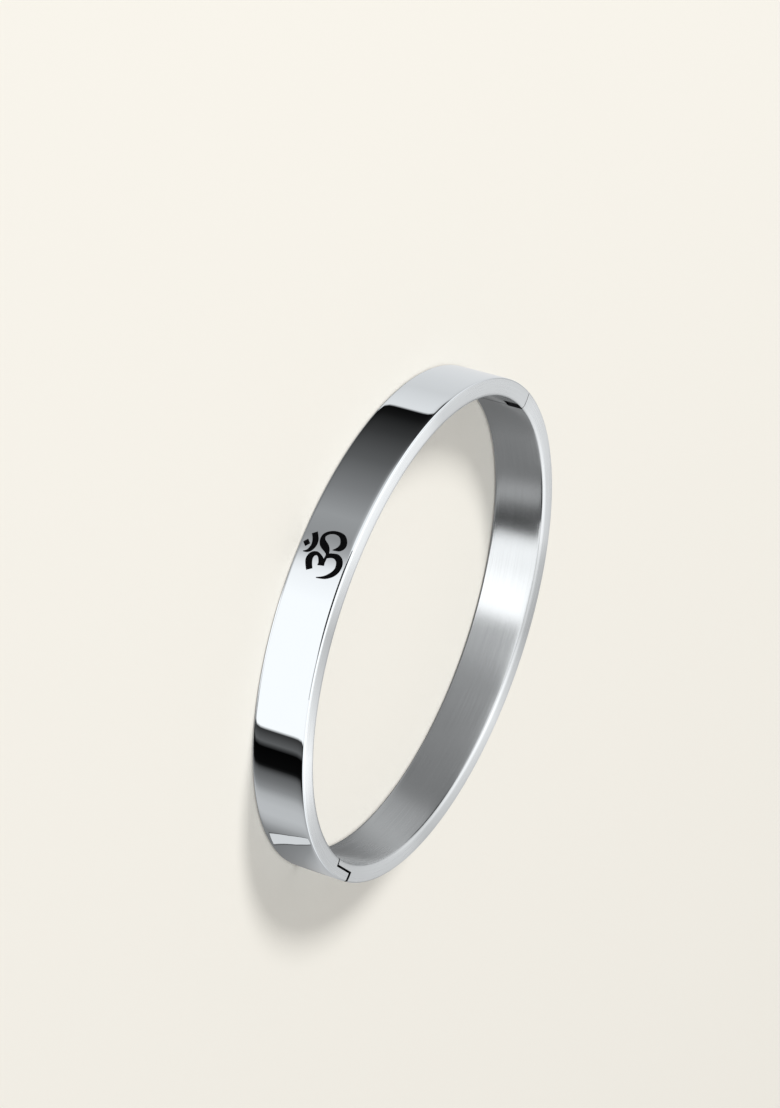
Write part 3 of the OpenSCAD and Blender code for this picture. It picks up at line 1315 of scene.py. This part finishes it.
@dataclass
class Band:
    """The two halves of the oval band.

    Fields: pitch is the mesh's longest step along the oval, spare how far a rough half runs on
    at both ends as a parameter of the oval, and beyond how far the cutters reach past the band.
    A face is swept where it lies within on_outline of the section and alike or more of the
    surface's way, as a cosine. It is outer or inner by the outward part of its normal, and
    on_round and on_seat are how near a cut face lies to the lugs' round ends and their seat.
    Past last_quarter of the oval's length, the front half's map counts back from its start.
    """

    oval: Oval
    section: BandSection
    hinge: Hinge
    clasp: Clasp
    sign: OmSign
    pitch: float = 0.26
    ring_points: int = 72
    spare: float = 0.16
    beyond: float = 5.0
    on_outline: float = 0.012
    alike: float = 0.9
    outer: float = 0.5
    inner: float = -0.9
    on_round: float = 0.03
    on_seat: float = 0.01
    last_quarter: float = 0.75

    def rough(self, half: Half) -> Solid:
        """Half of the band before it is cut, a little longer than the half at both ends.

        Point (i, j) lies at parameter t_i of the oval and at point j of the section: the
        oval's point less depth times its normal, at the section's height.

        Args:
            half: which half.

        Returns:
            The closed solid.
        """
        line, _, _ = self.section.outline()
        kept = line[self.section.stations(self.ring_points)]
        sign = half.value
        turns = self.oval.even_turns(-self.spare, math.pi + self.spare, self.pitch) * sign
        if sign < 0:
            turns = turns[::-1]
        plan = self.oval.parallel(turns[:, None] + np.zeros(len(kept)), kept[:, 0][None, :])
        rings = np.empty((len(turns), len(kept), 3))
        rings[:, :, :2] = plan
        rings[:, :, 2] = kept[:, 1]
        return swept(rings)

    def build(self, half: Half, name: str) -> bpy.types.Object:
        """Makes a half of the band.

        Args:
            half: which half.
            name: the piece's name.

        Returns:
            The finished piece.
        """
        piece = self.rough(half).piece(name)
        far = self.oval.half_length + self.beyond
        top = self.section.width
        at_hinge = self.hinge.front_cutters if half is Half.FRONT else self.hinge.rear_cutters
        cutters = at_hinge(far, top) + self.clasp.cutters(half, far, top)
        if half is Half.FRONT:
            cutters.append(self.sign.recess())
        cut_out(piece, cutters)
        self.dress(piece, half)
        return piece

    def kinds(self, reader: BandMap, mesh: bpy.types.Mesh) -> tuple[Array, Array]:
        """Sorts the faces of a cut half.

        A face belongs to the swept surface where its middle lies on the section's outline and
        it looks the way the surface does. Of the cut faces, the round lug ends about the pin
        are polished, and the clasp's relief and the lugs' seat get near-black painted shade.

        Args:
            reader: the band's map.
            mesh: the cut half's mesh.

        Returns:
            The number of each face's finish, and whether it belongs to the swept surface.
        """
        middles = values(mesh.polygons, "center") / METRES
        facing, outward, off, _, _ = reader.read(middles)
        cosine = (facing * values(mesh.polygons, "normal")).sum(axis=1)
        on_sweep = (off < self.on_outline) & (cosine > self.alike)
        kind = np.where(outward > self.outer, Face.OUTER.value, Face.SIDE.value)
        kind = np.where(outward < self.inner, Face.INNER.value, kind)
        reach = np.hypot(middles[:, 0] - self.hinge.pin_x, middles[:, 1] - self.hinge.pin_y)
        lug_end = np.abs(reach - self.hinge.lug_round) < self.on_round
        cut = np.where(lug_end, Face.OUTER.value, Face.CUT.value)
        # Painted shade: the relief notch and the lugs' seat take the near-black finish for the
        # shade in the gaps.
        seat = np.abs(middles[:, 1] - self.hinge.seat) < self.on_seat
        cut = np.where(seat | self.clasp.in_relief(middles), Face.PAINTED_SHADE.value, cut)
        return np.where(on_sweep, kind, cut), on_sweep

    def dress(self, piece: bpy.types.Object, half: Half) -> None:
        """Gives a half its finishes, its normals and its map.

        The corners of swept faces take the surface's own normals, and the others keep theirs,
        smooth up to SMOOTH_ANGLE. The map is the length along the band and the length round
        its section.

        Args:
            piece: the cut half.
            half: which half it is.
        """
        mesh = piece.data
        mesh.materials.clear()
        # The rear half's cut faces take the darker copy, as painted shade in the seams.
        ends = CUT_STEEL if half is Half.FRONT else SHADED_CUT_STEEL
        for steel in (POLISHED, SATIN_SIDE, SATIN_INNER, ends, PAINTED_SHADE_STEEL):
            mesh.materials.append(shared(steel))
        mesh.set_sharp_from_angle(angle=SMOOTH_ANGLE)
        corners = values(mesh.corner_normals, "vector")
        owner = values(mesh.loops, "vertex_index", 1)
        reader = BandMap(self.oval, self.section)
        kind, on_sweep = self.kinds(reader, mesh)
        mesh.polygons.foreach_set("material_index", kind.astype(np.int32))
        swept_corner = np.repeat(on_sweep, values(mesh.polygons, "loop_total", 1))
        facing, _, _, along, around = reader.read(values(mesh.vertices, "co") / METRES)
        corners[swept_corner] = facing[owner][swept_corner]
        if half is Half.FRONT:
            lap = self.oval.along(np.array([np.pi]))[0]
            along = np.where(along > self.last_quarter * lap, along - lap, along)
        mesh.polygons.foreach_set("use_smooth", np.ones(len(mesh.polygons), dtype=bool))
        uv = mesh.uv_layers.new(name=BandMap.NAME)
        places = np.stack([along[owner], around[owner]], axis=1)
        uv.data.foreach_set("uv", places.astype(np.float32).ravel())
        mesh.normals_split_custom_set(corners.tolist())
        mesh.update()


SHARED: dict[str, bpy.types.Material] = {}


def shared(finish: Steel | Enamel) -> bpy.types.Material:
    """Gives a finish's material, which is made only once.

    Args:
        finish: the finish.

    Returns:
        Its material.
    """
    if finish.name not in SHARED:
        SHARED[finish.name] = finish.material()
    return SHARED[finish.name]


def bearing(graph: Graph, x: object, y: object) -> bpy.types.NodeSocket:
    """Turns a direction in plan into a share of a full turn, from 0 at +X, leftwards."""
    angle = graph.math("DIVIDE", graph.math("ARCTAN2", y, x), 2.0 * math.pi)
    return graph.math("FRACT", graph.math("ADD", angle, 1.0))


@dataclass(frozen=True)
class LightCard:
    """A flat glowing card under the floor, which only mirrors see.

    Its brightness follows stops: by the bearing about focus in degrees, or, where the card has
    a heading, by the distance from focus along that heading in millimetres.
    """

    name: str
    outline: Array
    depth: float
    stops: Stops
    focus: tuple[float, float] = (0.0, 0.0)
    heading: float | None = None

    REACH = 100.0

    def light(self) -> bpy.types.Material:
        """Builds the card's glow.

        Returns:
            The material.
        """
        made, graph, shader = blank(self.name)
        graph.tree.nodes.remove(shader)
        x, y, _ = graph.parts(graph.body())
        x = graph.math("SUBTRACT", x, self.focus[0] * METRES)
        y = graph.math("SUBTRACT", y, self.focus[1] * METRES)
        if self.heading is None:
            shade = graph.ramp(bearing(graph, x, y), self.stops, 360.0)
        else:
            angle = math.radians(self.heading)
            reach = self.REACH * METRES
            part = graph.math("MULTIPLY", x, math.cos(angle) / reach)
            place = graph.math("MULTIPLY_ADD", y, math.sin(angle) / reach, part)
            shade = graph.ramp(place, self.stops, self.REACH)
        glow = graph.node("ShaderNodeEmission")
        graph.join(shade, glow, 0)
        graph.join(glow.outputs[0], graph.tree.nodes["Material Output"], 0)
        return made

    def lay(self) -> bpy.types.Object:
        """Lays the card.

        Returns:
            The card, a piece of the stage.
        """
        points = np.column_stack([self.outline, np.full(len(self.outline), -self.depth)])
        made = Solid(points, [tuple(range(len(points)))]).piece(self.name)
        made.data.materials.append(self.light())
        made.visible_camera = False
        made.visible_diffuse = False
        made.visible_shadow = False
        made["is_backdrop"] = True
        return made


@dataclass(frozen=True)
class Studio:
    """A pale floor, a soft sky and a lamp, and the surroundings that only the mirror sees.

    Each stop is a direction in degrees, turning left from +X, and the brightness there: for the
    card that the hollow mirrors, for the level of the table, for the ring above it towards the
    horizon, for what lies below it, and for the sky's rim. The pairs named from hold the two
    elevations, in degrees, between which a level takes over from the one below it. For the ring
    they change with the direction: edges leads from the first number of ring_from and ring_full,
    at 0, to the second, at 1.
    """

    sky: float = 0.64
    mirrored_sky: float = 1.12
    overhead: float = 1.7
    focus: tuple[float, float] = (-3.0, 4.0)
    hollow: Stops = (
        (0, 0.33), (8, 0.22), (50, 0.24), (65, 0.21), (92, 0.18), (110, 0.19), (118, 0.26),
        (126, 0.36), (138, 0.48), (147, 0.5), (165, 0.43), (182, 0.37), (190, 0.25), (200, 0.225),
        (212, 0.24), (240, 0.27), (262, 0.34), (268, 0.44), (282, 0.5), (285.5, 1.45), (300, 1.3),
        (306, 1.14), (318, 1.18), (322.6, 0.98), (325.4, 0.02), (331, 0.03), (336, 0.08),
        (342, 0.17), (348, 0.4), (357, 0.42), (360, 0.33),
    )
    table: Stops = (
        (0, 0.27), (5, 0.45), (11, 0.53), (19, 0.54), (25.5, 0.45), (30, 0.34), (36, 0.23),
        (84, 0.27), (96, 0.5), (104, 0.8), (142, 0.74), (168, 0.67), (185.6, 0.8), (186.6, 0.003),
        (192, 0.008), (203, 0.04), (218, 0.108), (232, 0.215), (243, 0.335), (252, 0.3),
        (257, 0.42), (262.5, 0.86), (266, 0.97), (275, 1.06), (328.2, 1.06), (329, 0.03),
        (335.6, 0.13), (336.4, 0.001), (347.2, 0.003), (351, 0.12), (356, 0.19), (360, 0.27),
    )
    ring: Stops = (
        (0, 0.22), (6, 0.42), (26, 0.44), (36, 0.3), (84, 0.38), (100, 0.8), (150, 0.7),
        (175, 0.55), (181, 0.01), (204, 0.03), (210, 0.1), (218, 0.24), (224, 0.48), (236, 0.7),
        (250, 0.95), (264, 0.98), (326.5, 0.98), (328.5, 0.004), (350, 0.004), (360, 0.22),
    )
    below: Stops = (
        (0, 0.2), (8, 0.4), (30, 0.34), (84, 0.26), (104, 0.78), (142, 0.7), (174, 0.62),
        (186, 0.12), (200, 0.018), (218, 0.06), (243, 0.19), (256, 0.3), (264, 0.62), (300, 0.9),
        (314, 0.5), (321, 0.004), (350, 0.004), (360, 0.2),
    )
    rim: Stops = (
        (0, 0.9), (60, 0.72), (100, 0.55), (140, 0.72), (200, 0.9), (262, 0.95), (340, 0.9),
    )
    edges: Stops = (
        (0, 0), (252, 0), (262, 0.6), (285, 1), (328, 1), (345, 0),
    )
    table_from: tuple[float, float] = (-42.0, -36.0)
    ring_from: tuple[float, float] = (-27.3, -18.0)
    ring_full: tuple[float, float] = (-20.0, -15.0)
    rim_from: tuple[float, float] = (-9.0, 1.0)
    sky_from: tuple[float, float] = (8.0, 22.0)
    overhead_from: tuple[float, float] = (32.0, 58.0)
    leaf_radius: float = 52.0
    leaf_steps: int = 144
    floor_side: float = 6.0
    floor_cells: int = 8
    floor_dark: tuple[float, float, float] = (0.855, 0.825, 0.755)
    floor_light: tuple[float, float, float] = (0.87, 0.84, 0.77)
    floor_rough: float = 0.9
    floor_specular: float = 0.1
    floor_scale: float = 5.0
    lamp_size: float = 0.45
    lamp_energy: float = 21.0
    lamp_place: tuple[float, float, float] = (-1.20, -0.75, 0.98)

    def floor(self) -> bpy.types.Object:
        """Lays the floor, a large pale sheet that the steel's mirror doesn't see.

        Returns:
            The floor, a piece of the stage.
        """
        half, row = self.floor_side / 2.0, self.floor_cells + 1
        mesh = bpy.data.meshes.new("floor")
        ticks = np.linspace(-half, half, row)
        grid = np.stack(np.meshgrid(ticks, ticks, [0.0], indexing="ij"), -1).reshape(-1, 3)
        start = (np.arange(row - 1)[:, None] * row + np.arange(row - 1)[None, :]).ravel()
        quads = np.stack([start, start + row, start + row + 1, start + 1], axis=1)
        mesh.from_pydata(grid.tolist(), [], quads.tolist())
        paper, graph, shader = blank("pale_paper")
        shader.inputs["Roughness"].default_value = self.floor_rough
        shader.inputs["Specular IOR Level"].default_value = self.floor_specular
        body = graph.body()
        grain = graph.noise(body, self.floor_scale, 2.0)
        tone = graph.mixed(grain, (*self.floor_dark, 1.0), (*self.floor_light, 1.0))
        graph.join(tone, shader, "Base Color")
        mesh.materials.append(paper)
        made = placed("floor", mesh)
        made.visible_glossy = False
        made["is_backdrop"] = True
        return made

    def cards(self) -> list[LightCard]:
        """The cards under the floor.

        Returns:
            The one that the hollow mirrors, the slip of light that the face by the hinge
            mirrors, its dark border, the one beyond the hinge, and the dark one that the
            front face's upper edge mirrors.
        """
        leaf = circle(self.focus, self.leaf_radius, self.leaf_steps)
        slip = np.array(
            [[51.4, -0.5], [52.6, 2.6], [45.0, 1.25], [38.53, -1.29], [39.02, -4.72], [44.4, -2.5]]
        )
        border = slip + (
            [[0.0, -0.2], [0.3, 0.5], [0.0, 0.5], [-0.3, 0.45], [-0.1, -0.4], [0.0, -0.25]]
        )
        beyond = np.array([[34.8, -6.3], [50.5, 0.2], [62, 8], [62, 40], [35, 40], [35, 2]])
        fading = ((0.0, 0.20), (19.0, 0.21), (24.0, 0.25), (27.0, 0.29), (29.3, 0.37), (33.0, 0.50))
        before = np.array(
            [[-11, -63.3], [-2.3, -54.0], [13.9, -54.0], [19.6, -55.8], [27.8, -59.3], [39, -51]]
            + [[112, -141], [55, -171], [22, -177], [-20, -177], [-40, -173]]
        )
        fence = ((0.0, 0.02), (286.0, 0.015), (295.0, 0.30), (309.0, 0.60))
        return [
            LightCard("hollow_card", leaf, 25.0, self.hollow, self.focus),
            LightCard("slip_card", slip, 2.98, ((0.0, 0.70), (60.0, 0.70)), heading=0.0),
            LightCard("border_card", border, 3.0, ((0.0, 0.12), (60.0, 0.13)), heading=0.0),
            LightCard("beyond_card", beyond, 3.02, fading, heading=62.0),
            LightCard("before_card", before, 3.0, fence, (4.2, -6.4)),
        ]

    def surroundings(self) -> None:
        """Paints the world: a plain soft sky, and the table and sky that mirrors see.

        The mirrored world is stacked by elevation, each level led into the next by a smooth
        step: what lies below, the table, the ring, the sky's rim, the sky and what is overhead.
        """
        world = bpy.data.worlds.new("studio")
        bpy.context.scene.world = world
        world.use_nodes = True
        graph = Graph(world.node_tree)
        back = world.node_tree.nodes["Background"]
        x, y, z = graph.parts(graph.node("ShaderNodeTexCoord").outputs["Generated"])
        turn = bearing(graph, x, y)
        height = graph.math("DEGREES", graph.math("ARCSINE", z))
        below, table, ring, rim, edges = (
            graph.ramp(turn, stops, 360.0)
            for stops in (self.below, self.table, self.ring, self.rim, self.edges)
        )
        seen = below
        for level, start, full in (
            (table, *self.table_from),
            (ring, graph.spread(edges, *self.ring_from), graph.spread(edges, *self.ring_full)),
            (rim, *self.rim_from),
            (grey(self.mirrored_sky), *self.sky_from),
            (grey(self.overhead), *self.overhead_from),
        ):
            seen = graph.mixed(graph.step(height, start, full), seen, level)
        mirror = graph.node("ShaderNodeLightPath").outputs["Is Glossy Ray"]
        graph.join(graph.mixed(mirror, grey(self.sky), seen), back, "Color")
        back.inputs["Strength"].default_value = 1.0

    def lamp(self) -> None:
        """Hangs a soft lamp at the picture's upper left for a soft shadow."""
        light = bpy.data.lights.new("key", "AREA")
        light.shape = "DISK"
        light.size = self.lamp_size
        light.energy = self.lamp_energy
        made = placed("key", light)
        made.location = self.lamp_place
        made.rotation_euler = (-Vector(made.location)).to_track_quat("-Z", "Y").to_euler()
        made.visible_glossy = False


@dataclass(frozen=True)
class PhotoCamera:
    """The photograph's camera: where it looks from, how far it rolls, and its lens."""

    aim: tuple[float, float, float] = (-7.654, -3.813, -0.335)
    distance: float = 507.55
    azimuth: float = 10.92
    elevation: float = 27.88
    roll: float = 106.15
    lens: float = 122.933
    sensor: float = 36.0
    nearest: float = 0.01
    farthest: float = 20.0

    def place(self) -> bpy.types.Object:
        """Sets up the scene's camera.

        Returns:
            The camera.
        """
        data = bpy.data.cameras.new("camera")
        data.sensor_fit = "AUTO"
        data.sensor_width = self.sensor
        data.lens = self.lens
        data.clip_start = self.nearest
        data.clip_end = self.farthest
        made = placed("camera", data)
        turn = (
            Matrix.Rotation(math.radians(self.azimuth), 4, "Z")
            @ Matrix.Rotation(math.radians(90.0 - self.elevation), 4, "X")
            @ Matrix.Rotation(math.radians(self.roll), 4, "Z")
        )
        back = turn @ Vector((0.0, 0.0, self.distance))
        made.matrix_world = Matrix.Translation((Vector(self.aim) + back) * METRES) @ turn
        bpy.context.scene.camera = made
        return made


def main() -> None:
    """Builds the bangle on its frame, piece by piece, and the studio round it."""
    logging.basicConfig(level=logging.INFO, format="%(name)s: %(message)s")
    for thing in list(bpy.data.objects):
        bpy.data.objects.remove(thing)
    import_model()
    low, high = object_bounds()
    pin_low, pin_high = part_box("hinge_pin")
    oval = Oval((high.x - low.x) / 2.0 / METRES, (high.y - low.y) / 2.0 / METRES)
    section = BandSection(width=(high.z - low.z) / METRES)
    hinge = Hinge(pin_x=(pin_low.x + pin_high.x) / 2.0 / METRES)
    clasp = Clasp(hinge, inner_x=section.thickness - oval.half_length)
    sign = OmSign(oval, section.width / 2.0)
    band = Band(oval, section, hinge, clasp, sign)
    for half, name, node, body in (
        (Half.FRONT, "front_band", "front_half", "front"),
        (Half.REAR, "rear_band", "rear_half", "rear"),
    ):
        piece = band.build(half, name)
        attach(piece, body)
        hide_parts(node)
        LOG.info("%s: %d faces", name, len(piece.data.polygons))
    filling = sign.filling().piece("sign_filling")
    filling.data.materials.append(shared(Enamel()))
    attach(filling, "front")
    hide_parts("symbol_enamel")
    LOG.info("sign_filling: %d faces", len(filling.data.polygons))
    pin = hinge.pin(pin_low.z / METRES, pin_high.z / METRES).smooth_piece("steel_pin", PIN_STEEL)
    tongue = clasp.tongue(section.width / 2.0).smooth_piece("spring_tongue", SPRING_STEEL)
    for piece, node, body, slot in (
        (pin, "hinge_pin", "front", "pin_steel"),
        (tongue, "clasp_tongue", "rear", "spring_steel"),
    ):
        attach(piece, body)
        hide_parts(node)
        LOG.info("%s: %d faces", piece.name, len(piece.data.polygons))
    studio = Studio()
    studio.floor()
    for card in studio.cards():
        card.lay()
    studio.surroundings()
    studio.lamp()
    PhotoCamera().place()
    bpy.context.scene.view_settings.view_transform = "Standard"
    low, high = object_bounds()


if __name__ == "__main__":
    main()
